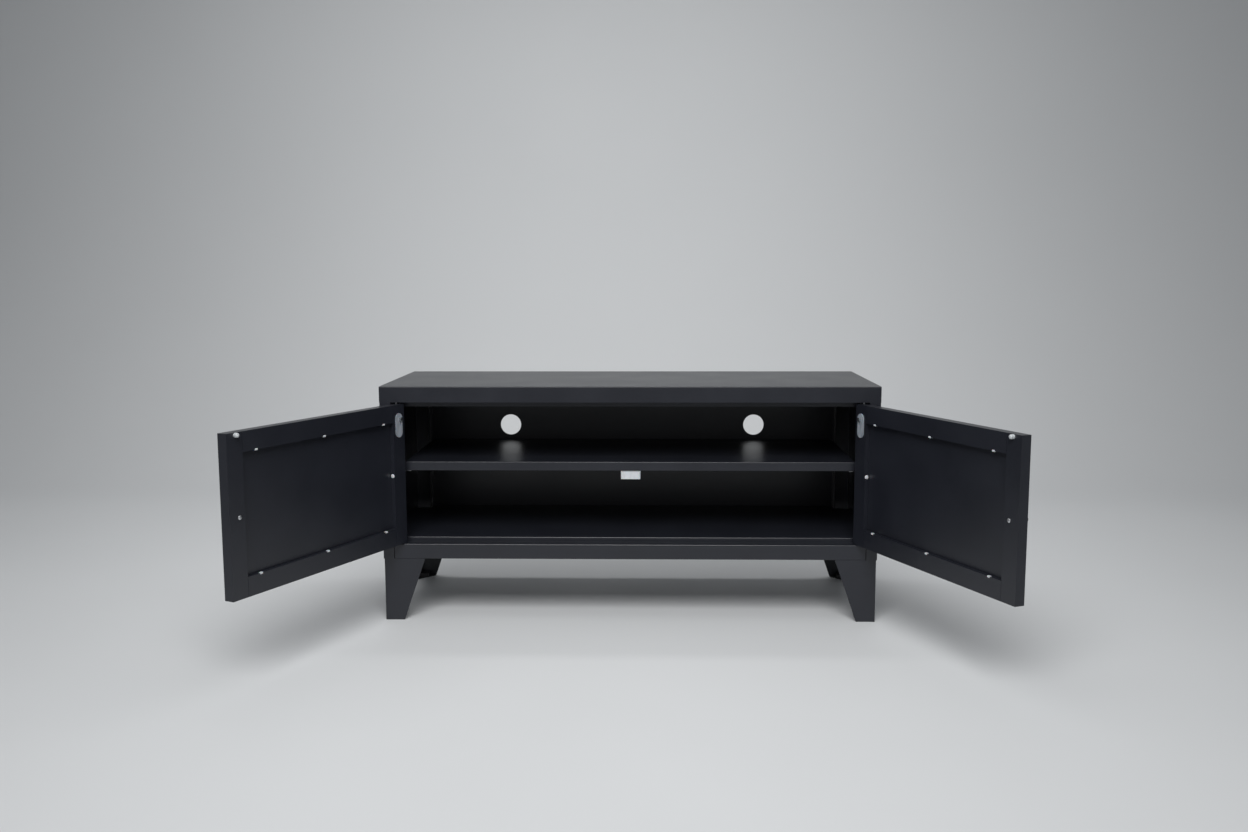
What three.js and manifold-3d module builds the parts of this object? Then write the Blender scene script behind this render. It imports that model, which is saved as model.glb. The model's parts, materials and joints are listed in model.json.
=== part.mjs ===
// Low two-door media cabinet in folded sheet steel, standing on four tapered legs.
// Millimetres, +Z up, front towards -Y. The doors are drawn swung open.
import * as THREE from 'three';
import { mergeVertices } from 'three/addons/utils/BufferGeometryUtils.js';
import Module from 'manifold-3d';

const wasm = await Module();
wasm.setup();

// Overall size
const WIDTH = 1200;
const DEPTH = 420;
const HEIGHT = 576;
const SHEET = 1.5;
const BEND_RADIUS = 1.75;
const BEND_STEPS = 4;
const ROUND_STEPS = 32;
const FINE_STEPS = 20;
const HOLE_STEPS = 48;

// Working allowances: room between neighbouring sheets, how far a cut runs past its face, and
// the distance at which two corners count as one
const FIT = 0.5;
const SLIVER = 0.2;
const CUT = 1;
const LONG_CUT = 20;
const MERGE_DISTANCE = 1e-4;

// Heights
const CAP_HEIGHT = 38;
const CAP_EDGE_RADIUS = 2.5;
const LEG_HEIGHT = 154;
const RAIL_HEIGHT = 37;
const FLOOR_TOP = 201.5;
const CAP_BOTTOM = HEIGHT - CAP_HEIGHT;
const RAIL_TOP = LEG_HEIGHT + RAIL_HEIGHT;
const HEADER_BOTTOM = 524.4;

// Corner posts and the door rebate behind the front plane
const POST_FACE = 27;
const STOP_DEPTH = 33;
const STOP_WIDTH = 17;
const POST_LIP = 23;
const REAR_LIP = 36;
const INSIDE_EDGE = WIDTH / 2 - POST_FACE;
const LIP_FACE = INSIDE_EDGE - STOP_WIDTH;
const FLOOR_NOTCH = LIP_FACE - 2.8;
const RAIL_LOWER_FOLD = 22;
const RAIL_REAR_FOLD = 14;
const RAIL_TUCK = 7;
const RAIL_END_GAP = 1.2;

// Back panel
const CABLE_HOLE_RADIUS = 28;
const CABLE_HOLE_X = 334.7;
const CABLE_HOLE_Z = 428.5;
const BACK_FOLD = 13;
const BACK_SIDE_GAP = 1.3;
const BACK_PLATE_SETBACK = 1.1;
const FLOOR_REAR_GAP = 2.2;

// Middle shelf
const SHELF_TOP = 388;
const SHELF_FOLD = 22.6;
const SHELF_FRONT = 38;
const SHELF_BACK = 412;
const SHELF_HALF_WIDTH = 548;
const SHELF_LIP = 30;
const SHELF_UNDERSIDE = SHELF_TOP - SHELF_FOLD;
const SUPPORT_LENGTH = 14;
const SUPPORT_DROP = 20;
const SUPPORT_REACH = 20;
const SUPPORT_INSET = 3;

// Legs
const LEG_SHEET = 2;
const LEG_INSET = 1.5;
const LEG_TOP_WIDTH = 100;
const LEG_FOOT_WIDTH = 46.5;
const LEG_BEND_RADIUS = 2.2;
const LEG_FLANGE_INSET = 6;
const LEG_FLANGE_REACH = 30;
const GLIDE_SOLE = 1.5;
const GLIDE_SOLE_INSET = 0.6;
const GLIDE_SOLE_WIDTH = 6;
const GLIDE_BLOCK_INSET = LEG_SHEET + 1.5;
const GLIDE_BLOCK = 26;
const GLIDE_BLOCK_HEIGHT = 12;

// Doors, measured from the hinge axis: x along the door, y towards its inner face
const DOOR_THICKNESS = 23;
const DOOR_SIDE_GAP = 3;
const DOOR_CENTRE_GAP = 1.5;
const DOOR_BOTTOM = 192.5;
const DOOR_TOP = 533.7;
const DOOR_FRONT_SETBACK = 0.5;
const DOOR_FLANGE = 42;
const DOOR_RECESS = 11;
const HINGE_FROM_END = 9.3;
const HINGE_FROM_FRONT = 7.7;
const LEFT_OPEN_ANGLE = 115.1;
const RIGHT_OPEN_ANGLE = 113.5;
const FLANGE_JOINT = 0.6;
const HINGE_X = INSIDE_EDGE - DOOR_SIDE_GAP - HINGE_FROM_END;
const DOOR_START = -HINGE_FROM_END;
const DOOR_END = HINGE_X - DOOR_CENTRE_GAP;
const DOOR_OUTER_Y = DOOR_FRONT_SETBACK - HINGE_FROM_FRONT;
const DOOR_INNER_Y = DOOR_OUTER_Y + DOOR_THICKNESS;
const OPENING_START = DOOR_START + DOOR_FLANGE;
const OPENING_END = DOOR_END - DOOR_FLANGE;
const OPENING_BOTTOM = DOOR_BOTTOM + DOOR_FLANGE;
const OPENING_TOP = DOOR_TOP - DOOR_FLANGE;
const LINER_Y = DOOR_INNER_Y - DOOR_RECESS;
const LINER_SHEET = 1.2;
const LINER_RIM = 10;

// Liner clips on the long edges of the recess and one rivet on its hinge-side wall
const CLIP_LENGTH = 6.5;
const CLIP_SHEET = 1.4;
const CLIP_TAB = 2.4;
const CLIP_LEG = 4;
const CLIP_CHAMFER = 0.7;
const CLIP_SPACING = 205;
const RIVET_HEAD_RADIUS = 4.8;
const RIVET_HEAD_HEIGHT = 2.6;
const RIVET_SHANK_RADIUS = 1.8;
const RIVET_SHANK_LENGTH = 5;
const RIVET_HOLE_RADIUS = 2;
const RIVET_DEPTH = 5.6;
const RIVET_HEAD_PROFILE = [[1, 0], [1, 0.35], [0.8, 0.8], [0.4, 1], [0, 1]];

// Hinge pins
const PIN_RADIUS = 2;
const COLLAR_RADIUS = 2.85;
const PIN_TRAVEL = 11;
const PIN_HOLE_RADIUS = 2.3;
const TOP_PIN_END = 544;
const TOP_PIN_START = 463;
const COLLAR_BOTTOM = 497;
const COLLAR_TOP = 500;
const THUMB_SLIDE = { x0: 5, x1: 13, thickness: 4, z0: 494.5, z1: 502.5 };
const STEM = { x0: 6, x1: 9, half: 1.2 };
const HOUSING_CENTRE_X = 12.6;
const HOUSING_CENTRE_Z = 484;
const HOUSING_WIDTH = 24.5;
const HOUSING_HEIGHT = 58;
const HOUSING_LIP = 2;
const HOUSING_PLUG_INSET = 2.5;
const HOUSING_PLUG_GAP = 0.8;
const GUIDE = { x0: -5, x1: 14, y0: -5.5, behindLiner: 3, z0: 464, z1: 506 };
const SPRING_SPACE = { half: 3.6, z0: 468 };
const STEM_SLOT = { x0: 3, half: 1.8 };
const SLIDE_GAP = 0.5;
const SLIDE_CORNER = 2;
const SLIDE_CORNER_STEPS = 4;
const SPRING_BOTTOM = 468.2;
const SPRING_TURNS = 9;
const SPRING_RIDGE = 0.3;
const BOTTOM_PIN_START = 182;
const BOTTOM_PIN_END = 206;
const BUSH_FLANGE_RADIUS = 4.6;
const BUSH_BODY_RADIUS = 3;
const BUSH_FLANGE = 1.2;
const BUSH_DEPTH = 4;
const RUNNING_FIT = 0.15;
const PRESS_FIT = 0.02;

// Closing parts
const BUMPER_RADIUS = 5;
const BUMPER_HEIGHT = 9.3;
const BUMPER_FROM_END = 24;
const BUMPER_BELOW_TOP = 5.4;
const BUMPER_PROFILE = [[1, 0], [1, 0.55], [0.92, 0.75], [0.7, 0.9], [0.38, 0.98], [0, 1]];
const KNOB_FROM_END = 26.5;
const KNOB_Z = 361;
const KNOB_HEIGHT = 18;
const KNOB_RADIUS = 8.5;
const KNOB_NECK_RADIUS = 5;
const KNOB_NECK_SHARE = 0.45;
const KNOB_HEAD_PROFILE = [[0.85, 0.62], [1, 0.75], [1, 0.92], [0.9, 1], [0, 1]];
const KNOB_SCREW_RADIUS = 2;
const KNOB_SCREW_HEAD_RADIUS = 4.6;
const KNOB_SCREW_HEAD_HEIGHT = 2.4;
const KNOB_SCREW_BITE = 10;
const SCREW_HEAD_PROFILE = [[1, 0], [1, 0.5], [0.75, 0.9], [0.4, 1], [0, 1]];
const CATCH_X = 3.5;
const CATCH_WIDTH = 48;
const CATCH_HEIGHT = 18;
const CATCH_FRONT = 26.6;
const CATCH_BACK = 57.5;
const CATCH_CORNER = 4;
const MAGNET_WIDTH = 18;
const MAGNET_THICKNESS = 8;
const MAGNET_OFFSET = 11.5;
const MAGNET_SKIN = 1.5;
const MAGNET_BACK = CATCH_BACK - 4;

// Materials
const steelPaint = { color: 0x26282d, roughness: 0.5, metalness: 0.25 };
const liningPaint = { color: 0x222429, roughness: 0.55, metalness: 0.25 };
const zinc = { color: 0xb9bcc0, roughness: 0.3, metalness: 0.9 };
const springSteel = { color: 0x8d9196, roughness: 0.35, metalness: 0.9 };
const whiteNylon = { color: 0xe4e4e0, roughness: 0.45, metalness: 0 };
const clearRubber = { color: 0xdfe4e6, roughness: 0.2, metalness: 0 };
const blackPlastic = { color: 0x161618, roughness: 0.6, metalness: 0 };
const ferrite = { color: 0x3a3a3c, roughness: 0.7, metalness: 0.2 };

// --- Solid helpers -------------------------------------------------------------------------

function toSolid(geometry) {
  const bare = geometry.clone();
  bare.deleteAttribute('normal');
  bare.deleteAttribute('uv');
  const merged = mergeVertices(bare, MERGE_DISTANCE);
  return new wasm.Manifold(new wasm.Mesh({
    numProp: 3,
    vertProperties: new Float32Array(merged.attributes.position.array),
    triVerts: new Uint32Array(merged.index.array),
  }));
}

function toGeometry(solid) {
  const data = solid.getMesh();
  const geometry = new THREE.BufferGeometry();
  geometry.setAttribute('position', new THREE.BufferAttribute(new Float32Array(data.vertProperties), 3));
  geometry.setIndex(new THREE.BufferAttribute(new Uint32Array(data.triVerts), 1));
  const flat = geometry.toNonIndexed();
  flat.computeVertexNormals();
  return flat;
}

// Reflection through the plane x = 0 (axis 0) or y = 0 (axis 1); windings are turned back out.
function reflected(geometry, axis) {
  const copy = geometry.index ? geometry.toNonIndexed() : geometry.clone();
  const points = copy.attributes.position.array;
  for (let i = axis; i < points.length; i += 3) {
    points[i] = -points[i];
  }
  for (let i = 0; i < points.length; i += 9) {
    for (let k = 0; k < 3; k += 1) {
      const held = points[i + 3 + k];
      points[i + 3 + k] = points[i + 6 + k];
      points[i + 6 + k] = held;
    }
  }
  copy.computeVertexNormals();
  return copy;
}

function block(x0, x1, y0, y1, z0, z1) {
  const geometry = new THREE.BoxGeometry(x1 - x0, y1 - y0, z1 - z0);
  geometry.translate((x0 + x1) / 2, (y0 + y1) / 2, (z0 + z1) / 2);
  return toSolid(geometry);
}

function rod(radius, z0, z1, x = 0, y = 0, steps = ROUND_STEPS) {
  const geometry = new THREE.CylinderGeometry(radius, radius, z1 - z0, steps);
  geometry.rotateX(Math.PI / 2);
  geometry.translate(x, y, (z0 + z1) / 2);
  return toSolid(geometry);
}

// Body of revolution about the y axis, and the same stood up about the z axis.
function lathed(profile, steps) {
  return new THREE.LatheGeometry(profile.map(([r, h]) => new THREE.Vector2(r, h)), steps);
}

function turnedAboutZ(profile, steps) {
  const geometry = lathed(profile, steps);
  geometry.rotateX(Math.PI / 2);
  return geometry;
}

// Scales a profile given as shares of a head's radius and height.
function scaled(profile, radius, height) {
  return profile.map(([r, h]) => [r * radius, h * height]);
}

// A shape drawn in plan (x, y) and raised from z0 to z1.
function raised(shape, z0, z1) {
  const geometry = new THREE.ExtrudeGeometry(shape, { depth: z1 - z0, bevelEnabled: false });
  geometry.translate(0, 0, z0);
  return toSolid(geometry);
}

// A shape drawn in section (y, z) and drawn out from x0 to x1.
function drawnAlongX(shape, x0, x1) {
  const geometry = new THREE.ExtrudeGeometry(shape, { depth: x1 - x0, bevelEnabled: false });
  geometry.rotateY(Math.PI / 2);
  geometry.rotateX(Math.PI / 2);
  geometry.translate(x0, 0, 0);
  return toSolid(geometry);
}

// A shape drawn in elevation (x, z) and drawn out from y0 to y1.
function drawnAlongY(shape, y0, y1) {
  const geometry = new THREE.ExtrudeGeometry(shape, { depth: y1 - y0, bevelEnabled: false });
  geometry.rotateX(Math.PI / 2);
  geometry.translate(0, y1, 0);
  return toSolid(geometry);
}

function polygon(points) {
  return new THREE.Shape(points.map(([u, v]) => new THREE.Vector2(u, v)));
}

// Block that cuts everything beyond |x| = inner away on one side, between two depths.
function endWaste(side, inner, y0, y1, z0, z1) {
  const near = side * inner;
  const far = side * WIDTH;
  return block(Math.min(near, far), Math.max(near, far), y0, y1, z0, z1);
}

// Outline of a bent sheet that follows a centre line, with rounded bends.
function bentSheet(path, thickness = SHEET, radius = BEND_RADIUS) {
  const points = path.map(([u, v]) => new THREE.Vector2(u, v));
  const left = [];
  const right = [];
  const push = (at, along) => {
    const across = new THREE.Vector2(-along.y, along.x).multiplyScalar(thickness / 2);
    left.push(at.clone().add(across));
    right.push(at.clone().sub(across));
  };
  const origin = new THREE.Vector2();
  push(points[0], points[1].clone().sub(points[0]).normalize());
  for (let i = 1; i < points.length - 1; i += 1) {
    const into = points[i].clone().sub(points[i - 1]).normalize();
    const out = points[i + 1].clone().sub(points[i]).normalize();
    const turn = Math.atan2(into.cross(out), into.dot(out));
    const start = points[i].clone().addScaledVector(into, -radius * Math.tan(Math.abs(turn) / 2));
    const side = new THREE.Vector2(-into.y, into.x).multiplyScalar(Math.sign(turn) * radius);
    const centre = start.clone().add(side);
    for (let step = 0; step <= BEND_STEPS; step += 1) {
      const angle = (turn * step) / BEND_STEPS;
      const at = start.clone().sub(centre).rotateAround(origin, angle).add(centre);
      push(at, into.clone().rotateAround(origin, angle));
    }
  }
  const last = points.length - 1;
  push(points[last], points[last].clone().sub(points[last - 1]).normalize());
  const outline = left.concat(right.reverse());
  return new THREE.Shape(outline);
}

// Rounded rectangle about a centre, as a plan or elevation outline.
function roundedRectangle(u, v, width, height, radius, steps = 8) {
  const corners = [[1, 1, 0], [-1, 1, 90], [-1, -1, 180], [1, -1, 270]];
  const points = [];
  for (const [signU, signV, startAngle] of corners) {
    for (let step = 0; step <= steps; step += 1) {
      const angle = THREE.MathUtils.degToRad(startAngle + (90 * step) / steps);
      const centreU = u + signU * (width / 2 - radius);
      const centreV = v + signV * (height / 2 - radius);
      points.push([centreU + radius * Math.cos(angle), centreV + radius * Math.sin(angle)]);
    }
  }
  return polygon(points);
}

const cabinet = new THREE.Group();
cabinet.name = 'media_cabinet';

function add(name, geometry, look) {
  const mesh = new THREE.Mesh(geometry, new THREE.MeshStandardMaterial(look));
  mesh.name = name;
  cabinet.add(mesh);
}

function addPair(name, geometry, look) {
  add(`left_${name}`, geometry, look);
  add(`right_${name}`, reflected(geometry, 0), look);
}

// --- Carcass -------------------------------------------------------------------------------

// Shallow upturned tray with rounded front and rear edges.
function topCap() {
  const half = WIDTH / 2;
  const arc = (centreY, startAngle) => {
    const points = [];
    for (let step = 0; step <= BEND_STEPS; step += 1) {
      const angle = THREE.MathUtils.degToRad(startAngle - (90 * step) / BEND_STEPS);
      const y = centreY + CAP_EDGE_RADIUS * Math.cos(angle);
      points.push([y, HEIGHT - CAP_EDGE_RADIUS + CAP_EDGE_RADIUS * Math.sin(angle)]);
    }
    return points;
  };
  const section = polygon([
    [0, CAP_BOTTOM],
    ...arc(CAP_EDGE_RADIUS, 180),
    ...arc(DEPTH - CAP_EDGE_RADIUS, 90),
    [DEPTH, CAP_BOTTOM],
  ]);
  const hollow = block(
    -half + SHEET, half - SHEET, SHEET, DEPTH - SHEET, CAP_BOTTOM - CUT, HEIGHT - SHEET,
  );
  return toGeometry(drawnAlongX(section, -half, half).subtract(hollow));
}

function sidePanel() {
  const outer = -WIDTH / 2 + SHEET / 2;
  const cheek = -INSIDE_EDGE - SHEET / 2;
  const lip = -LIP_FACE - SHEET / 2;
  const stop = STOP_DEPTH + SHEET / 2;
  const plan = bentSheet([
    [lip, STOP_DEPTH + POST_LIP],
    [lip, stop],
    [cheek, stop],
    [cheek, SHEET / 2],
    [outer, SHEET / 2],
    [outer, DEPTH - SHEET / 2],
    [lip, DEPTH - SHEET / 2],
    [lip, DEPTH - REAR_LIP],
  ]);
  return toGeometry(raised(plan, LEG_HEIGHT, CAP_BOTTOM));
}

function backPanel() {
  const side = LIP_FACE - BACK_SIDE_GAP;
  const plate = DEPTH - BACK_PLATE_SETBACK;
  const plan = bentSheet([
    [-side, plate - BACK_FOLD],
    [-side, plate],
    [side, plate],
    [side, plate - BACK_FOLD],
  ]);
  let panel = raised(plan, LEG_HEIGHT, CAP_BOTTOM);
  for (const x of [-CABLE_HOLE_X, CABLE_HOLE_X]) {
    const geometry = new THREE.CylinderGeometry(
      CABLE_HOLE_RADIUS, CABLE_HOLE_RADIUS, LONG_CUT, HOLE_STEPS,
    );
    geometry.translate(x, plate, CABLE_HOLE_Z);
    panel = panel.subtract(toSolid(geometry));
  }
  return toGeometry(panel);
}

function floorPanel() {
  const level = FLOOR_TOP - SHEET / 2;
  const section = bentSheet([
    [STOP_DEPTH + SHEET / 2, RAIL_TOP],
    [STOP_DEPTH + SHEET / 2, level],
    [DEPTH - FLOOR_REAR_GAP, level],
  ]);
  const half = WIDTH / 2 - SHEET - FIT;
  let panel = drawnAlongX(section, -half, half);
  const frontNotch = STOP_DEPTH + POST_LIP + CUT;
  const rearNotch = DEPTH - REAR_LIP - CUT;
  for (const side of [-1, 1]) {
    panel = panel.subtract(endWaste(side, FLOOR_NOTCH, 0, frontNotch, LEG_HEIGHT, HEIGHT));
    panel = panel.subtract(endWaste(side, FLOOR_NOTCH, rearNotch, DEPTH + CUT, LEG_HEIGHT, HEIGHT));
  }
  return toGeometry(panel);
}

// The ledge of the rail runs in under the folded front edge of the floor.
function bottomRail() {
  const face = SHEET / 2;
  const rear = STOP_DEPTH + RAIL_TUCK;
  const section = bentSheet([
    [RAIL_LOWER_FOLD, LEG_HEIGHT + SHEET / 2],
    [face, LEG_HEIGHT + SHEET / 2],
    [face, RAIL_TOP - SHEET / 2],
    [rear, RAIL_TOP - SHEET / 2],
    [rear, RAIL_TOP - RAIL_REAR_FOLD],
  ]);
  const half = INSIDE_EDGE - RAIL_END_GAP;
  let rail = drawnAlongX(section, -half, half);
  for (const side of [-1, 1]) {
    const hole = rod(
      BUSH_BODY_RADIUS + RUNNING_FIT, RAIL_TOP - BUSH_DEPTH - CUT, RAIL_TOP + CUT,
      side * HINGE_X, HINGE_FROM_FRONT,
    );
    rail = rail.subtract(hole);
    rail = rail.subtract(endWaste(
      side, FLOOR_NOTCH, STOP_DEPTH - FIT, DEPTH, LEG_HEIGHT - CUT, RAIL_TOP + CUT,
    ));
  }
  return toGeometry(rail);
}

function headerRail() {
  const flange = CAP_BOTTOM + SLIVER + SHEET / 2;
  const section = bentSheet([
    [SHEET + FIT, flange],
    [STOP_DEPTH + SHEET / 2, flange],
    [STOP_DEPTH + SHEET / 2, HEADER_BOTTOM],
  ]);
  const half = WIDTH / 2 - SHEET - FIT;
  let rail = drawnAlongX(section, -half, half);
  for (const side of [-1, 1]) {
    rail = rail.subtract(endWaste(
      side, LIP_FACE - FIT, STOP_DEPTH - POST_LIP, STOP_DEPTH + POST_LIP,
      HEADER_BOTTOM - CUT, CAP_BOTTOM + SLIVER,
    ));
    const hole = rod(
      PIN_HOLE_RADIUS, CAP_BOTTOM - CUT, CAP_BOTTOM + 2 * SHEET + CUT, side * HINGE_X, HINGE_FROM_FRONT,
    );
    rail = rail.subtract(hole);
  }
  return toGeometry(rail);
}

function middleShelf() {
  const front = SHELF_FRONT + SHEET / 2;
  const back = SHELF_BACK - SHEET / 2;
  const section = bentSheet([
    [SHELF_FRONT + SHELF_LIP, SHELF_UNDERSIDE + SHEET / 2],
    [front, SHELF_UNDERSIDE + SHEET / 2],
    [front, SHELF_TOP - SHEET / 2],
    [back, SHELF_TOP - SHEET / 2],
    [back, SHELF_UNDERSIDE],
  ]);
  let shelf = drawnAlongX(section, -SHELF_HALF_WIDTH, SHELF_HALF_WIDTH);
  const end = SHELF_HALF_WIDTH;
  shelf = shelf.add(block(-end, -end + SHEET, front, back, SHELF_UNDERSIDE, SHELF_TOP - SHEET / 2));
  shelf = shelf.add(block(end - SHEET, end, front, back, SHELF_UNDERSIDE, SHELF_TOP - SHEET / 2));
  return toGeometry(shelf);
}

function shelfSupport(y) {
  const level = SHELF_UNDERSIDE - SHEET / 2;
  const plate = -LIP_FACE + SHEET / 2;
  const elevation = bentSheet([
    [plate, SHELF_UNDERSIDE - SUPPORT_DROP],
    [plate, level],
    [plate + SUPPORT_REACH, level],
  ]);
  return toGeometry(drawnAlongY(elevation, y, y + SUPPORT_LENGTH));
}

// --- Legs ----------------------------------------------------------------------------------

// Front left leg: two tapered plates folded into a corner, with a fixing flange on top.
function frontLeftLeg() {
  const outerX = -WIDTH / 2 + LEG_INSET;
  const outerY = LEG_INSET;
  const middle = LEG_SHEET / 2;
  const plan = bentSheet([
    [outerX + LEG_TOP_WIDTH, outerY + middle],
    [outerX + middle, outerY + middle],
    [outerX + middle, outerY + LEG_TOP_WIDTH],
  ], LEG_SHEET, LEG_BEND_RADIUS);
  let leg = raised(plan, GLIDE_SOLE, LEG_HEIGHT);
  const spread = LEG_TOP_WIDTH - LEG_FOOT_WIDTH;
  const waste = (edge) => polygon([
    [edge + LEG_FOOT_WIDTH, 0],
    [edge + LEG_TOP_WIDTH + LONG_CUT, 0],
    [edge + LEG_TOP_WIDTH + LONG_CUT, LEG_HEIGHT],
    [edge + LEG_FOOT_WIDTH + spread, LEG_HEIGHT],
  ]);
  leg = leg.subtract(drawnAlongY(waste(outerX), outerY - CUT, outerY + 2 * LEG_SHEET + CUT));
  leg = leg.subtract(drawnAlongX(waste(outerY), outerX - CUT, outerX + 2 * LEG_SHEET + CUT));
  const flangeEnd = LEG_TOP_WIDTH - LEG_FLANGE_INSET;
  const flange = polygon([
    [outerX + middle, outerY + middle],
    [outerX + flangeEnd, outerY + middle],
    [outerX + flangeEnd, outerY + LEG_FLANGE_REACH],
    [outerX + LEG_FLANGE_REACH, outerY + flangeEnd],
    [outerX + middle, outerY + flangeEnd],
  ]);
  leg = leg.add(raised(flange, LEG_HEIGHT - LEG_SHEET, LEG_HEIGHT));
  return toGeometry(leg);
}

function frontLeftGlide() {
  const nearX = -WIDTH / 2 + LEG_INSET + GLIDE_SOLE_INSET;
  const nearY = LEG_INSET + GLIDE_SOLE_INSET;
  const length = LEG_FOOT_WIDTH - 2 * GLIDE_SOLE_INSET;
  const sole = polygon([
    [nearX, nearY],
    [nearX + length, nearY],
    [nearX + length, nearY + GLIDE_SOLE_WIDTH],
    [nearX + GLIDE_SOLE_WIDTH, nearY + length],
    [nearX, nearY + length],
  ]);
  const blockX = -WIDTH / 2 + LEG_INSET + GLIDE_BLOCK_INSET;
  const blockY = LEG_INSET + GLIDE_BLOCK_INSET;
  let glide = raised(sole, 0, GLIDE_SOLE);
  glide = glide.add(block(
    blockX, blockX + GLIDE_BLOCK, blockY, blockY + GLIDE_BLOCK, GLIDE_SOLE / 2, GLIDE_BLOCK_HEIGHT,
  ));
  return toGeometry(glide);
}

// The four corners are reflections of the front left one.
function addAtCorners(name, geometry, look) {
  const rear = reflected(geometry, 1);
  rear.translate(0, DEPTH, 0);
  addPair(`front_${name}`, geometry, look);
  addPair(`rear_${name}`, rear, look);
}

// --- Magnetic catch ------------------------------------------------------------------------

function catchHousing() {
  const middle = (CATCH_FRONT + CATCH_BACK) / 2;
  const plan = roundedRectangle(CATCH_X, middle, CATCH_WIDTH, CATCH_BACK - CATCH_FRONT, CATCH_CORNER);
  let housing = raised(plan, SHELF_UNDERSIDE - CATCH_HEIGHT, SHELF_UNDERSIDE);
  for (const side of [-1, 1]) {
    housing = housing.subtract(magnetSpace(side, SLIVER, CATCH_BACK + CUT));
  }
  return toGeometry(housing);
}

function magnetSpace(side, clearance, back) {
  const halfWidth = MAGNET_WIDTH / 2 + clearance;
  const halfHeight = MAGNET_THICKNESS / 2 + clearance;
  const level = SHELF_UNDERSIDE - CATCH_HEIGHT / 2;
  const centre = CATCH_X + side * MAGNET_OFFSET;
  return block(
    centre - halfWidth, centre + halfWidth,
    CATCH_FRONT + MAGNET_SKIN - clearance, back,
    level - halfHeight, level + halfHeight,
  );
}

// --- Doors ---------------------------------------------------------------------------------

// Places along the door of the clips on each long edge of the recess.
function clipPositions() {
  const middle = (DOOR_START + DOOR_END) / 2;
  return [middle - CLIP_SPACING, middle, middle + CLIP_SPACING];
}

// Clip hooked over the recess edge: a tab on the flange and a short leg down the wall.
// The edge runs at height z and the flange lies on its "side": +1 above it, -1 below it.
function linerClip(x, z, side) {
  const face = DOOR_INNER_Y;
  const section = polygon([
    [face, z + side * CLIP_TAB],
    [face + CLIP_SHEET - CLIP_CHAMFER, z + side * CLIP_TAB],
    [face + CLIP_SHEET, z + side * (CLIP_TAB - CLIP_CHAMFER)],
    [face + CLIP_SHEET, z - side * (CLIP_SHEET - CLIP_CHAMFER)],
    [face + CLIP_SHEET - CLIP_CHAMFER, z - side * CLIP_SHEET],
    [face - CLIP_LEG, z - side * CLIP_SHEET],
    [face - CLIP_LEG, z],
    [face, z],
  ]);
  return toGeometry(drawnAlongX(section, x - CLIP_LENGTH / 2, x + CLIP_LENGTH / 2));
}

// Turns a shape built along +Z so that it stands on the hinge-side wall of the recess.
function onHingeSideWall(geometry) {
  const turned = geometry.clone();
  turned.rotateY(Math.PI / 2);
  turned.translate(OPENING_START, DOOR_INNER_Y - RIVET_DEPTH, (DOOR_BOTTOM + DOOR_TOP) / 2);
  return turned;
}

function linerRivet() {
  const profile = [
    [0, -RIVET_SHANK_LENGTH],
    [RIVET_SHANK_RADIUS, -RIVET_SHANK_LENGTH],
    [RIVET_SHANK_RADIUS, 0],
    ...scaled(RIVET_HEAD_PROFILE, RIVET_HEAD_RADIUS, RIVET_HEAD_HEIGHT),
  ];
  return onHingeSideWall(turnedAboutZ(profile, FINE_STEPS));
}

function recessRing(outset, y0, y1) {
  const outer = block(
    OPENING_START - outset, OPENING_END + outset, y0, y1,
    OPENING_BOTTOM - outset, OPENING_TOP + outset,
  );
  const inner = block(
    OPENING_START, OPENING_END, y0 - CUT, y1 + CUT, OPENING_BOTTOM, OPENING_TOP,
  );
  return outer.subtract(inner);
}

// Open butt joint where a level flange meets an upright one.
function flangeJoint(x, z0, z1) {
  const half = FLANGE_JOINT / 2;
  return block(x - half, x + half, DOOR_INNER_Y - 2 * SHEET, DOOR_INNER_Y + CUT, z0, z1);
}

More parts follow.
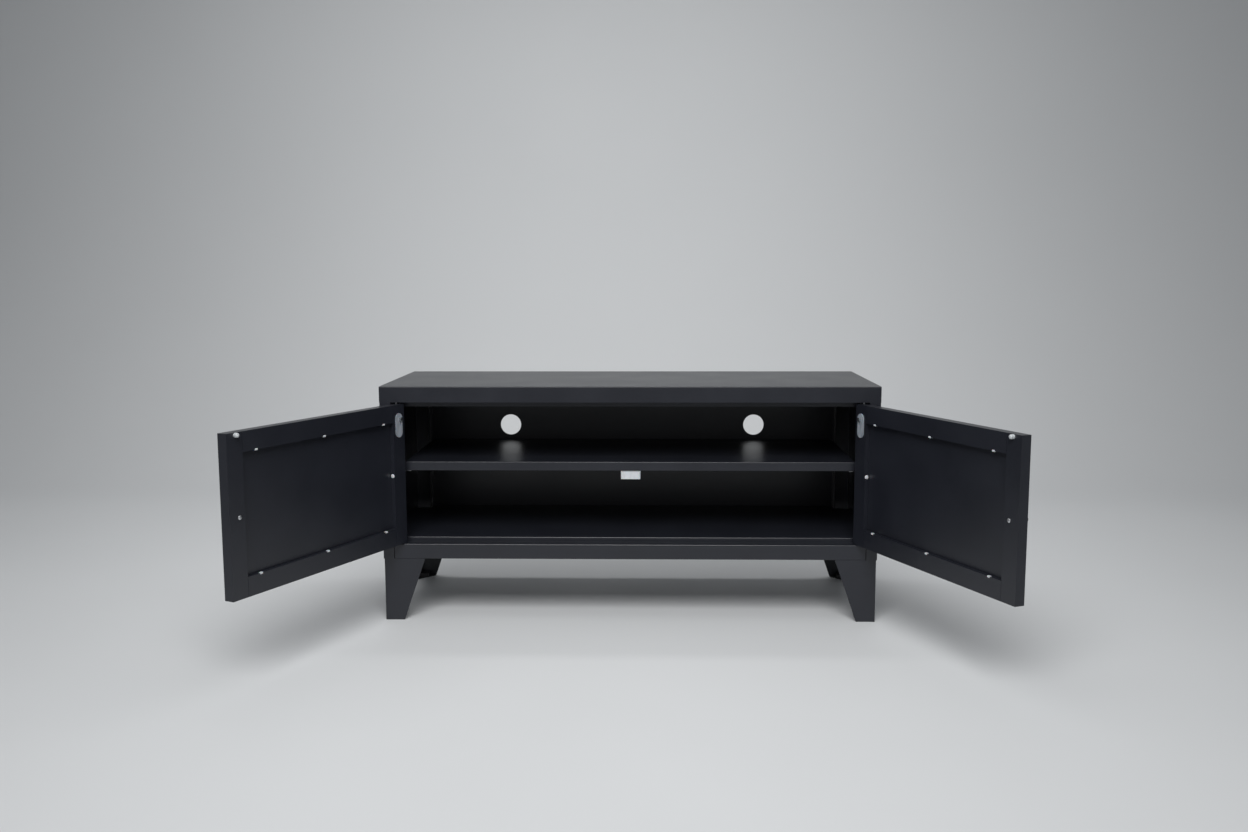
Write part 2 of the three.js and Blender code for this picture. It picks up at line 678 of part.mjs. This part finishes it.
function doorShell() {
  let shell = block(DOOR_START, DOOR_END, DOOR_OUTER_Y, DOOR_INNER_Y, DOOR_BOTTOM, DOOR_TOP);
  shell = shell.subtract(block(
    DOOR_START + SHEET, DOOR_END - SHEET, DOOR_OUTER_Y + SHEET, DOOR_INNER_Y - SHEET,
    DOOR_BOTTOM + SHEET, DOOR_TOP - SHEET,
  ));
  shell = shell.subtract(block(
    OPENING_START, OPENING_END, DOOR_OUTER_Y + 2 * SHEET, DOOR_INNER_Y + CUT,
    OPENING_BOTTOM, OPENING_TOP,
  ));
  shell = shell.add(recessRing(SHEET, LINER_Y + SLIVER / 2, DOOR_INNER_Y - SHEET / 2));
  for (const x of [OPENING_START, OPENING_END]) {
    shell = shell.subtract(flangeJoint(x, DOOR_BOTTOM + 2 * SHEET, OPENING_BOTTOM - 2 * SHEET));
    shell = shell.subtract(flangeJoint(x, OPENING_TOP + 2 * SHEET, DOOR_TOP - 2 * SHEET));
  }
  const rivetHole = new THREE.CylinderGeometry(
    RIVET_HOLE_RADIUS, RIVET_HOLE_RADIUS, RIVET_SHANK_LENGTH, FINE_STEPS,
  );
  rivetHole.rotateX(Math.PI / 2);
  shell = shell.subtract(toSolid(onHingeSideWall(rivetHole)));
  const screwHole = new THREE.CylinderGeometry(
    KNOB_SCREW_RADIUS + SLIVER, KNOB_SCREW_RADIUS + SLIVER, 2 * DOOR_THICKNESS, FINE_STEPS,
  );
  screwHole.translate(DOOR_END - KNOB_FROM_END, (DOOR_OUTER_Y + DOOR_INNER_Y) / 2, KNOB_Z);
  shell = shell.subtract(toSolid(screwHole));
  const pocket = roundedRectangle(
    HOUSING_CENTRE_X, HOUSING_CENTRE_Z,
    HOUSING_WIDTH - 2 * (HOUSING_PLUG_INSET - SLIVER), HOUSING_HEIGHT - 2 * (HOUSING_PLUG_INSET - SLIVER),
    HOUSING_WIDTH / 2 - HOUSING_PLUG_INSET,
  );
  shell = shell.subtract(drawnAlongY(pocket, DOOR_INNER_Y - SHEET - CUT, DOOR_INNER_Y + CUT));
  shell = shell.subtract(rod(PIN_HOLE_RADIUS, DOOR_TOP - SHEET - CUT, DOOR_TOP + CUT));
  shell = shell.subtract(rod(PIN_RADIUS, DOOR_BOTTOM - CUT, DOOR_BOTTOM + SHEET + CUT));
  return toGeometry(shell);
}

// The liner is a flat sheet behind the recess opening.
function doorLiner() {
  const rim = SHEET + LINER_RIM;
  const start = OPENING_START - rim;
  const end = OPENING_END + rim;
  const bottom = OPENING_BOTTOM - rim;
  const top = OPENING_TOP + rim;
  return toGeometry(block(start, end, LINER_Y - LINER_SHEET, LINER_Y, bottom, top));
}

function doorBumper() {
  const profile = [[0, 0], ...scaled(BUMPER_PROFILE, BUMPER_RADIUS, BUMPER_HEIGHT)];
  const geometry = lathed(profile, ROUND_STEPS);
  geometry.translate(DOOR_END - BUMPER_FROM_END, DOOR_INNER_Y, DOOR_TOP - BUMPER_BELOW_TOP);
  return geometry;
}

// Low turned knob on the outer face, near the free edge.
function doorKnob() {
  const profile = [
    [KNOB_SCREW_RADIUS, 0],
    [KNOB_NECK_RADIUS, 0],
    [KNOB_NECK_RADIUS, KNOB_HEIGHT * KNOB_NECK_SHARE],
    ...scaled(KNOB_HEAD_PROFILE, KNOB_RADIUS, KNOB_HEIGHT),
    [0, KNOB_SCREW_BITE + FIT],
    [KNOB_SCREW_RADIUS, KNOB_SCREW_BITE + FIT],
    [KNOB_SCREW_RADIUS, 0],
  ];
  const geometry = lathed(profile, ROUND_STEPS);
  geometry.rotateZ(Math.PI);
  geometry.translate(DOOR_END - KNOB_FROM_END, DOOR_OUTER_Y, KNOB_Z);
  return geometry;
}

// Pan-head screw that holds the knob: its head shows on the inner face of the door.
function knobScrew() {
  const shank = KNOB_SCREW_RADIUS - PRESS_FIT;
  const profile = [
    [0, -DOOR_THICKNESS - KNOB_SCREW_BITE],
    [shank, -DOOR_THICKNESS - KNOB_SCREW_BITE],
    [shank, 0],
    ...scaled(SCREW_HEAD_PROFILE, KNOB_SCREW_HEAD_RADIUS, KNOB_SCREW_HEAD_HEIGHT),
  ];
  const geometry = lathed(profile, FINE_STEPS);
  geometry.translate(DOOR_END - KNOB_FROM_END, DOOR_INNER_Y, KNOB_Z);
  return geometry;
}

// Oval nylon block in the hinge flange: it guides the sprung pin and its thumb slide.
function pinHousing() {
  const face = roundedRectangle(
    HOUSING_CENTRE_X, HOUSING_CENTRE_Z, HOUSING_WIDTH, HOUSING_HEIGHT, HOUSING_WIDTH / 2,
  );
  const plug = roundedRectangle(
    HOUSING_CENTRE_X, HOUSING_CENTRE_Z,
    HOUSING_WIDTH - 2 * HOUSING_PLUG_INSET, HOUSING_HEIGHT - 2 * HOUSING_PLUG_INSET,
    HOUSING_WIDTH / 2 - HOUSING_PLUG_INSET,
  );
  let housing = drawnAlongY(face, DOOR_INNER_Y, DOOR_INNER_Y + HOUSING_LIP);
  housing = housing.add(drawnAlongY(plug, LINER_Y + HOUSING_PLUG_GAP, DOOR_INNER_Y + HOUSING_LIP / 2));
  housing = housing.add(block(
    GUIDE.x0, GUIDE.x1, GUIDE.y0, LINER_Y + GUIDE.behindLiner, GUIDE.z0, GUIDE.z1,
  ));
  const lowest = COLLAR_BOTTOM - PIN_TRAVEL - FIT;
  const highest = COLLAR_TOP + FIT;
  const slotEnd = STEM.x1 + FIT;
  const { half: room, z0: seat } = SPRING_SPACE;
  housing = housing.subtract(rod(PIN_HOLE_RADIUS, GUIDE.z0 - CUT, GUIDE.z1 + CUT));
  housing = housing.subtract(block(-room, room, -room, room, seat, highest));
  housing = housing.subtract(block(
    STEM_SLOT.x0, slotEnd, -STEM_SLOT.half, STEM_SLOT.half, lowest, highest,
  ));
  housing = housing.subtract(block(
    STEM.x0 - FIT, slotEnd, -STEM_SLOT.half, DOOR_INNER_Y + HOUSING_LIP + CUT, lowest, highest,
  ));
  return toGeometry(housing);
}

function topPin() {
  let pin = rod(PIN_RADIUS, TOP_PIN_START, TOP_PIN_END);
  pin = pin.add(rod(COLLAR_RADIUS, COLLAR_BOTTOM, COLLAR_TOP));
  pin = pin.add(block(0, STEM.x1, -STEM.half, STEM.half, COLLAR_BOTTOM, COLLAR_TOP));
  const slideBack = DOOR_INNER_Y + HOUSING_LIP + SLIDE_GAP;
  const slideFace = slideBack + THUMB_SLIDE.thickness;
  pin = pin.add(block(STEM.x0, STEM.x1, -STEM.half, slideFace - CUT, COLLAR_BOTTOM, COLLAR_TOP));
  const slide = roundedRectangle(
    (THUMB_SLIDE.x0 + THUMB_SLIDE.x1) / 2, (THUMB_SLIDE.z0 + THUMB_SLIDE.z1) / 2,
    THUMB_SLIDE.x1 - THUMB_SLIDE.x0, THUMB_SLIDE.z1 - THUMB_SLIDE.z0,
    SLIDE_CORNER, SLIDE_CORNER_STEPS,
  );
  pin = pin.add(drawnAlongY(slide, slideBack, slideFace));
  return toGeometry(pin);
}

// The coil spring is drawn as a ribbed sleeve of the coil's size.
function pinSpring() {
  const inner = PIN_HOLE_RADIUS;
  const crest = COLLAR_RADIUS;
  const valley = crest - SPRING_RIDGE;
  const top = COLLAR_BOTTOM - SLIVER;
  const pitch = (top - SPRING_BOTTOM) / SPRING_TURNS;
  const profile = [[inner, SPRING_BOTTOM]];
  for (let turn = 0; turn < SPRING_TURNS; turn += 1) {
    const foot = SPRING_BOTTOM + turn * pitch;
    profile.push([valley, foot]);
    profile.push([crest, foot + pitch / 3]);
    profile.push([crest, foot + (2 * pitch) / 3]);
  }
  profile.push([valley, top]);
  profile.push([inner, top]);
  profile.push([inner, SPRING_BOTTOM]);
  return turnedAboutZ(profile, FINE_STEPS);
}

function bottomPin() {
  return toGeometry(rod(PIN_RADIUS - PRESS_FIT, BOTTOM_PIN_START, BOTTOM_PIN_END));
}

function pinBush() {
  let bush = rod(BUSH_FLANGE_RADIUS, RAIL_TOP, RAIL_TOP + BUSH_FLANGE);
  bush = bush.add(rod(BUSH_BODY_RADIUS, RAIL_TOP - BUSH_DEPTH, RAIL_TOP + BUSH_FLANGE / 2));
  bush = bush.subtract(rod(
    PIN_RADIUS + RUNNING_FIT, RAIL_TOP - BUSH_DEPTH - CUT, RAIL_TOP + BUSH_FLANGE + CUT,
  ));
  bush = bush.translate([-HINGE_X, HINGE_FROM_FRONT, 0]);
  return toGeometry(bush);
}

// Adds a door piece to both doors, each swung open about its own hinge axis.
function addOnDoors(name, geometry, look) {
  const left = geometry.clone();
  left.rotateZ(-THREE.MathUtils.degToRad(LEFT_OPEN_ANGLE));
  left.translate(-HINGE_X, HINGE_FROM_FRONT, 0);
  add(`left_${name}`, left, look);
  const right = reflected(geometry, 0);
  right.rotateZ(THREE.MathUtils.degToRad(RIGHT_OPEN_ANGLE));
  right.translate(HINGE_X, HINGE_FROM_FRONT, 0);
  add(`right_${name}`, right, look);
}

// --- Assembly ------------------------------------------------------------------------------

add('top_cap', topCap(), steelPaint);
addPair('side_panel', sidePanel(), steelPaint);
add('back_panel', backPanel(), steelPaint);
add('floor_panel', floorPanel(), steelPaint);
add('bottom_rail', bottomRail(), steelPaint);
add('header_rail', headerRail(), steelPaint);
add('middle_shelf', middleShelf(), steelPaint);
addPair('front_shelf_support', shelfSupport(SHELF_FRONT + SUPPORT_INSET), zinc);
addPair('rear_shelf_support', shelfSupport(DEPTH - REAR_LIP + SUPPORT_INSET), zinc);

addAtCorners('leg', frontLeftLeg(), steelPaint);
addAtCorners('glide', frontLeftGlide(), blackPlastic);

add('catch_housing', catchHousing(), whiteNylon);
add('left_magnet', toGeometry(magnetSpace(-1, 0, MAGNET_BACK)), ferrite);
add('right_magnet', toGeometry(magnetSpace(1, 0, MAGNET_BACK)), ferrite);

addOnDoors('door_shell', doorShell(), steelPaint);
addOnDoors('door_liner', doorLiner(), liningPaint);
addOnDoors('door_bumper', doorBumper(), clearRubber);
addOnDoors('door_knob', doorKnob(), steelPaint);
addOnDoors('knob_screw', knobScrew(), zinc);
addOnDoors('pin_housing', pinHousing(), whiteNylon);
addOnDoors('top_pin', topPin(), zinc);
addOnDoors('pin_spring', pinSpring(), springSteel);
addOnDoors('bottom_pin', bottomPin(), zinc);
addPair('pin_bush', pinBush(), whiteNylon);
addOnDoors('liner_rivet', linerRivet(), whiteNylon);
clipPositions().forEach((x, index) => {
  addOnDoors(`upper_liner_clip_${index + 1}`, linerClip(x, OPENING_TOP, 1), whiteNylon);
  addOnDoors(`lower_liner_clip_${index + 1}`, linerClip(x, OPENING_BOTTOM, -1), whiteNylon);
});

// The origin is the middle of the whole object's footprint, on the floor.
const footprint = new THREE.Box3().setFromObject(cabinet);
cabinet.position.x = -(footprint.min.x + footprint.max.x) / 2;
cabinet.position.y = -(footprint.min.y + footprint.max.y) / 2;

export default cabinet;
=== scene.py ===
"""Looks of the media cabinet: powder-coated folded steel, nylon fittings, studio floor and light."""

import json
import math

import bmesh
import bpy
from mathutils import Matrix, Vector


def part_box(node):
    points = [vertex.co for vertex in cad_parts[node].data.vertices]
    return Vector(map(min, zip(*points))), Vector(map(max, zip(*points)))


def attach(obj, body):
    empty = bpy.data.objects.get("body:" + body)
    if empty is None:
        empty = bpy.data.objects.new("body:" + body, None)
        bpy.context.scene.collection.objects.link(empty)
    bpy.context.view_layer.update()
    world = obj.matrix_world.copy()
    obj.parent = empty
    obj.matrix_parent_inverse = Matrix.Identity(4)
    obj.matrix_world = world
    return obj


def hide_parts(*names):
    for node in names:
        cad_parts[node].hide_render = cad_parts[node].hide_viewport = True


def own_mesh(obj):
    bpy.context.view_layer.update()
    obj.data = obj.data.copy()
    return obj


MM = 0.001

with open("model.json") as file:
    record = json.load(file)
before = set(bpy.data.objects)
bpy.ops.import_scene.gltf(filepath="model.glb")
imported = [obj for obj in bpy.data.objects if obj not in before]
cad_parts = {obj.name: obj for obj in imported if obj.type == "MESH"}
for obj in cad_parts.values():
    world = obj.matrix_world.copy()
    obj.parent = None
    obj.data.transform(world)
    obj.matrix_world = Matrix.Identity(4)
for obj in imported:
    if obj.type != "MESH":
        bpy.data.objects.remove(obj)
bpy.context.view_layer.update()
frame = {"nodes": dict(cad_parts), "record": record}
nodes = frame["nodes"]
scene = bpy.context.scene

# Places worked out from the frame
cap_low, cap_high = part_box("top_cap")
CENTRE_X = (cap_low.x + cap_high.x) / 2
FRONT_Y = cap_low.y

# Camera, measured from the middle of the cabinet's front at floor level; angles in degrees
CAMERA_PLACE = Vector((53.5 * MM, -2718.8 * MM, 853.2 * MM))
CAMERA_YAW = 1.374
CAMERA_PITCH = -7.283
CAMERA_ROLL = -0.124
CAMERA_LENS = 33.06
SENSOR_WIDTH = 36.0

# Colours
COAT_DARK = (0.0108, 0.0120, 0.0170)
COAT_LIGHT = (0.0132, 0.0146, 0.0204)
NYLON = (0.58, 0.60, 0.62)
NATURAL_NYLON = (0.29, 0.32, 0.36)
ZINC = (0.66, 0.67, 0.69)
WIRE = (0.42, 0.43, 0.45)
CLEAR = (0.70, 0.73, 0.75)
BLACK = (0.014, 0.014, 0.015)
FERRITE = (0.035, 0.035, 0.037)
STUDIO = (0.66, 0.672, 0.68)
SKY = (0.93, 0.96, 1.0)
SKY_STRENGTH = 0.22

# Noise scales, in waves per metre
COAT_CLOUD = 9.0
COAT_PEEL = 420.0
COAT_GRIT = 1500.0
NYLON_FLOW = 160.0
NYLON_GRAIN = 900.0
ZINC_PATCH = 400.0
ZINC_TURNING = 2500.0
BUMPER_HAZE = 300.0
BUMPER_GRAIN = 700.0
DULL_GRAIN = 1200.0
PAPER_MOTTLE = 1.2
PAPER_TOOTH = 90.0

# Noise values: the range that most of them lie in, and the narrower range that colours spread over
NOISE_RANGE = (0.3, 0.7)
COLOUR_RANGE = (0.35, 0.65)

# Edges; angles in degrees
FLAT_ANGLE = 0.5
EDGE_ANGLE = 32
EDGE_SEGMENTS = 2
FACE_WEIGHT = 80
STEEL_EDGE = 0.45 * MM
HOUSING_EDGE = 0.4 * MM
SMALL_EDGE = 0.3 * MM
PLATED_EDGE = 0.2 * MM

# Pin springs
SPRING_TURNS = 13
SPRING_STEPS = 26
SPRING_WIRE_RADIUS = 0.25 * MM
SPRING_WIRE_SIDES = 8
SPRING_CLOSED_TURNS = 1.5

# Stage, in metres
BACKDROP_DISTANCE = 3.2
BACKDROP_RADIUS = 1.6
BACKDROP_HEIGHT = 4.5
BACKDROP_STEPS = 24
STAGE_HALF_WIDTH = 9.0
STAGE_FRONT = -9.0


# --- Material helpers ----------------------------------------------------------------------

class Graph:
    """A small wrapper that adds and joins nodes of one material."""

    def __init__(self, name):
        self.material = bpy.data.materials.new(name)
        self.material.use_nodes = True
        self.tree = self.material.node_tree
        self.shader = self.tree.nodes["Principled BSDF"]
        self.place = self.add("ShaderNodeTexCoord").outputs["Object"]
        self.normal = None

    def add(self, kind, **settings):
        node = self.tree.nodes.new(kind)
        for key, value in settings.items():
            setattr(node, key, value)
        return node

    def join(self, output, socket):
        self.tree.links.new(output, socket)

    def noise(self, scale, detail=3.0, stretch=(1, 1, 1)):
        mapping = self.add("ShaderNodeMapping")
        mapping.inputs["Scale"].default_value = stretch
        self.join(self.place, mapping.inputs["Vector"])
        noise = self.add("ShaderNodeTexNoise")
        noise.inputs["Scale"].default_value = scale
        noise.inputs["Detail"].default_value = detail
        self.join(mapping.outputs["Vector"], noise.inputs["Vector"])
        return noise.outputs["Fac"]

    def spread(self, value, start, end):
        """Maps a noise's values, over the range start, onto the range end."""
        reach = self.add("ShaderNodeMapRange")
        reach.inputs["From Min"].default_value = start[0]
        reach.inputs["From Max"].default_value = start[1]
        reach.inputs["To Min"].default_value = end[0]
        reach.inputs["To Max"].default_value = end[1]
        self.join(value, reach.inputs["Value"])
        return reach.outputs["Result"]

    def contrast(self, value):
        return self.spread(value, COLOUR_RANGE, (0.0, 1.0))

    def colour(self, factor, first, second):
        """Base colour that runs from the first tone to the second with factor."""
        mix = self.add("ShaderNodeMix", data_type="RGBA")
        tones = [socket for socket in mix.inputs if socket.type == "RGBA"]
        tones[0].default_value = (*first, 1.0)
        tones[1].default_value = (*second, 1.0)
        self.join(factor, mix.inputs["Factor"])
        results = [socket for socket in mix.outputs if socket.type == "RGBA"]
        self.join(results[0], self.shader.inputs["Base Color"])

    def roughness(self, value, smooth, rough):
        self.join(self.spread(value, NOISE_RANGE, (smooth, rough)), self.shader.inputs["Roughness"])

    def bump(self, height, strength, relief):
        """Lays a bump over the ones before it; relief is its height in metres."""
        bump = self.add("ShaderNodeBump")
        bump.inputs["Strength"].default_value = strength
        bump.inputs["Distance"].default_value = relief
        self.join(height, bump.inputs["Height"])
        if self.normal:
            self.join(self.normal, bump.inputs["Normal"])
        self.normal = bump.outputs["Normal"]
        self.join(self.normal, self.shader.inputs["Normal"])

    def set(self, **values):
        for name, value in values.items():
            self.shader.inputs[name.replace("_", " ")].default_value = value


def darker(colour, share):
    return tuple(channel * (1 - share) for channel in colour)


def powder_coat(name):
    """Near-black satin powder coat: faint clouding, orange peel and a finer grit."""
    g = Graph(name)
    cloud = g.noise(COAT_CLOUD, detail=4.0)
    g.colour(g.contrast(cloud), COAT_DARK, COAT_LIGHT)
    g.roughness(cloud, smooth=0.31, rough=0.35)
    g.bump(g.noise(COAT_PEEL, detail=2.0), strength=0.22, relief=0.05 * MM)
    g.bump(g.noise(COAT_GRIT, detail=2.0), strength=0.16, relief=0.02 * MM)
    g.set(Specular_IOR_Level=0.5)
    return g.material


def nylon(name, tone, streak):
    """Moulded nylon: slightly translucent, with upright flow marks darker by the share streak."""
    g = Graph(name)
    flow = g.noise(NYLON_FLOW, stretch=(1, 1, 0.3))
    g.colour(g.contrast(flow), darker(tone, streak), tone)
    g.roughness(flow, smooth=0.36, rough=0.48)
    g.bump(g.noise(NYLON_GRAIN), strength=0.15, relief=0.02 * MM)
    g.set(Subsurface_Weight=0.15, Subsurface_Scale=1.5 * MM)
    return g.material


def zinc_plate(name, tone):
    """Bright zinc plate with fine turning marks."""
    g = Graph(name)
    patch = g.noise(ZINC_PATCH, detail=4.0)
    g.colour(patch, darker(tone, share=0.2), tone)
    g.roughness(patch, smooth=0.24, rough=0.38)
    g.bump(g.noise(ZINC_TURNING, stretch=(1, 1, 0.15)), strength=0.2, relief=0.01 * MM)
    g.set(Metallic=1.0)
    return g.material


def clear_bumper(name):
    """Clear soft polymer dome."""
    g = Graph(name)
    haze = g.noise(BUMPER_HAZE)
    g.colour(haze, darker(CLEAR, share=0.07), CLEAR)
    g.roughness(haze, smooth=0.12, rough=0.22)
    g.bump(g.noise(BUMPER_GRAIN), strength=0.1, relief=0.02 * MM)
    g.set(Transmission_Weight=0.35, IOR=1.46)
    return g.material


def dull(name, tone, smooth, rough):
    """Moulded or pressed matt material with a fine grain."""
    g = Graph(name)
    grain = g.noise(DULL_GRAIN, detail=4.0)
    g.colour(grain, darker(tone, share=0.2), tone)
    g.roughness(grain, smooth, rough)
    g.bump(grain, strength=0.2, relief=0.02 * MM)
    return g.material


def studio_paper(name):
    """Pale seamless floor and backdrop, very slightly mottled."""
    g = Graph(name)
    mottle = g.noise(PAPER_MOTTLE, detail=5.0)
    g.colour(mottle, darker(STUDIO, share=0.03), STUDIO)
    g.roughness(mottle, smooth=0.55, rough=0.7)
    g.bump(g.noise(PAPER_TOOTH), strength=0.05, relief=0.2 * MM)
    return g.material


# --- CAD nodes -----------------------------------------------------------------------------

def finish_node(node, material, edge):
    """Gives a CAD node its material, softened edges and smooth shading across flat faces."""
    node.data.materials.clear()
    node.data.materials.append(material)
    for polygon in node.data.polygons:
        polygon.use_smooth = True
    flat = node.modifiers.new("flat faces", "DECIMATE")
    flat.decimate_type = "DISSOLVE"
    flat.angle_limit = math.radians(FLAT_ANGLE)
    if edge:
        bevel = node.modifiers.new("edges", "BEVEL")
        bevel.width = edge
        bevel.segments = EDGE_SEGMENTS
        bevel.limit_method = "ANGLE"
        bevel.angle_limit = math.radians(EDGE_ANGLE)
        bevel.harden_normals = True
    weighted = node.modifiers.new("normals", "WEIGHTED_NORMAL")
    weighted.keep_sharp = True
    weighted.weight = FACE_WEIGHT


def finish_nodes(wire):
    """Finishes every CAD node from its material slot in the record."""
    finishes = {
        "powder_coat": (powder_coat("powder_coat"), STEEL_EDGE),
        "zinc": (zinc_plate("zinc_plate", ZINC), PLATED_EDGE),
        "spring_steel": (wire, 0),
        "white_nylon": (nylon("white_nylon", NYLON, streak=0.1), SMALL_EDGE),
        "natural_nylon": (nylon("natural_nylon", NATURAL_NYLON, streak=0.3), HOUSING_EDGE),
        "clear_rubber": (clear_bumper("clear_bumper"), 0),
        "black_plastic": (dull("black_plastic", BLACK, smooth=0.49, rough=0.61), HOUSING_EDGE),
        "ferrite": (dull("ferrite", FERRITE, smooth=0.64, rough=0.76), SMALL_EDGE),
    }
    slots = {part["node"]: part["material_slot"] for part in frame["record"]["subparts"]}
    for name, node in nodes.items():
        material, edge = finishes[slots[name]]
        finish_node(node, material, edge)


# --- Pin springs ---------------------------------------------------------------------------

def wound_height(turn, reach):
    """Height after so many turns of a coil whose open part rises by reach: both ends are closed."""
    closed = SPRING_CLOSED_TURNS
    start = min(turn, closed)
    end = max(turn - SPRING_TURNS + closed, 0)
    share = (turn - closed) / (SPRING_TURNS - 2 * closed)
    open_share = min(max(share, 0.0), 1.0)
    return (start + end) * 2 * SPRING_WIRE_RADIUS + reach * open_share


def coil_mesh(name, low, high):
    """Wire wound about a vertical axis inside the box from low to high."""
    centre = (low + high) / 2
    radius = (high.x - low.x) / 2 - SPRING_WIRE_RADIUS
    bottom = low.z + SPRING_WIRE_RADIUS
    closed = SPRING_CLOSED_TURNS * 2 * SPRING_WIRE_RADIUS
    reach = high.z - low.z - 2 * SPRING_WIRE_RADIUS - 2 * closed
    b = bmesh.new()
    rings = []
    for step in range(SPRING_TURNS * SPRING_STEPS + 1):
        turn = step / SPRING_STEPS
        angle = 2 * math.pi * turn
        out = Vector((math.cos(angle), math.sin(angle), 0))
        middle = Vector((centre.x, centre.y, bottom + wound_height(turn, reach))) + out * radius
        ring = []
        for corner in range(SPRING_WIRE_SIDES):
            around = 2 * math.pi * corner / SPRING_WIRE_SIDES
            offset = out * math.cos(around) + Vector((0, 0, math.sin(around)))
            ring.append(b.verts.new(middle + offset * SPRING_WIRE_RADIUS))
        rings.append(ring)
    for first, second in zip(rings, rings[1:]):
        for i in range(SPRING_WIRE_SIDES):
            k = (i + 1) % SPRING_WIRE_SIDES
            face = b.faces.new((first[i], first[k], second[k], second[i]))
            face.smooth = True
    b.faces.new(rings[0])
    b.faces.new(list(reversed(rings[-1])))
    bmesh.ops.recalc_face_normals(b, faces=b.faces)
    mesh = bpy.data.meshes.new(name)
    b.to_mesh(mesh)
    b.free()
    return mesh


def coil_spring(side, wire):
    """Wound spring round the top pin."""
    node = f"{side}_pin_spring"
    low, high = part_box(node)
    name = f"{side}_coil_spring"
    spring = bpy.data.objects.new(name, coil_mesh(name, low, high))
    spring.data.materials.append(wire)
    scene.collection.objects.link(spring)
    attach(spring, f"{side}_door")
    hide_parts(node)
    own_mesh(spring)


# --- Stage, light and camera ---------------------------------------------------------------

def backdrop():
    """A floor that curves up into a wall behind the cabinet."""
    turn = FRONT_Y + BACKDROP_DISTANCE - BACKDROP_RADIUS
    profile = [(STAGE_FRONT, 0.0), (turn, 0.0)]
    for step in range(1, BACKDROP_STEPS + 1):
        angle = math.radians(90 * step / BACKDROP_STEPS)
        y = turn + BACKDROP_RADIUS * math.sin(angle)
        profile.append((y, BACKDROP_RADIUS * (1 - math.cos(angle))))
    profile.append((turn + BACKDROP_RADIUS, BACKDROP_HEIGHT))
    b = bmesh.new()
    left, right = (
        [b.verts.new((x, y, z)) for y, z in profile] for x in (-STAGE_HALF_WIDTH, STAGE_HALF_WIDTH)
    )
    for i in range(len(profile) - 1):
        face = b.faces.new((left[i], right[i], right[i + 1], left[i + 1]))
        face.smooth = True
    mesh = bpy.data.meshes.new("studio_backdrop")
    b.to_mesh(mesh)
    b.free()
    mesh.materials.append(studio_paper("studio_paper"))
    stage = bpy.data.objects.new("studio_backdrop", mesh)
    scene.collection.objects.link(stage)


def soft_light(name, place, aim, size, watts, spread=180):
    """A rectangular area light; spread is in degrees."""
    data = bpy.data.lights.new(name, "AREA")
    data.shape = "RECTANGLE"
    data.size, data.size_y = size
    data.energy = watts
    data.spread = math.radians(spread)
    light = bpy.data.objects.new(name, data)
    scene.collection.objects.link(light)
    light.location = place
    light.rotation_euler = (Vector(aim) - Vector(place)).to_track_quat("-Z", "Y").to_euler()


def lights():
    """A broad window in front, a panel overhead, and a strip that washes the wall behind."""
    soft_light(
        "window", place=(-0.15, -2.6, 2.8), aim=(-0.02, 0.0, 0.35), size=(2.4, 1.6), watts=41, spread=100
    )
    soft_light("overhead", place=(-0.1, -0.4, 3.0), aim=(-0.04, -0.2, 0.0), size=(2.6, 1.8), watts=11)
    soft_light("wall_wash", place=(-0.2, 0.9, 2.4), aim=(-0.2, 3.2, 0.2), size=(3.0, 0.5), watts=24)


def sky():
    world = bpy.data.worlds.new("studio")
    world.use_nodes = True
    background = world.node_tree.nodes["Background"]
    background.inputs["Color"].default_value = (*SKY, 1.0)
    background.inputs["Strength"].default_value = SKY_STRENGTH
    scene.world = world


def camera():
    data = bpy.data.cameras.new("camera")
    data.lens = CAMERA_LENS
    data.sensor_width = SENSOR_WIDTH
    view = bpy.data.objects.new("camera", data)
    scene.collection.objects.link(view)
    turn = Matrix.Rotation(math.radians(CAMERA_YAW), 4, "Z")
    tilt = Matrix.Rotation(math.radians(90 + CAMERA_PITCH), 4, "X")
    roll = Matrix.Rotation(math.radians(CAMERA_ROLL), 4, "Z")
    place = Matrix.Translation(CAMERA_PLACE + Vector((CENTRE_X, FRONT_Y, 0)))
    view.matrix_world = place @ turn @ tilt @ roll
    scene.camera = view


spring_wire = zinc_plate("spring_wire", WIRE)
finish_nodes(spring_wire)
for door_side in ("left", "right"):
    coil_spring(door_side, spring_wire)
backdrop()
lights()
sky()
camera()
scene.view_settings.view_transform = "Standard"
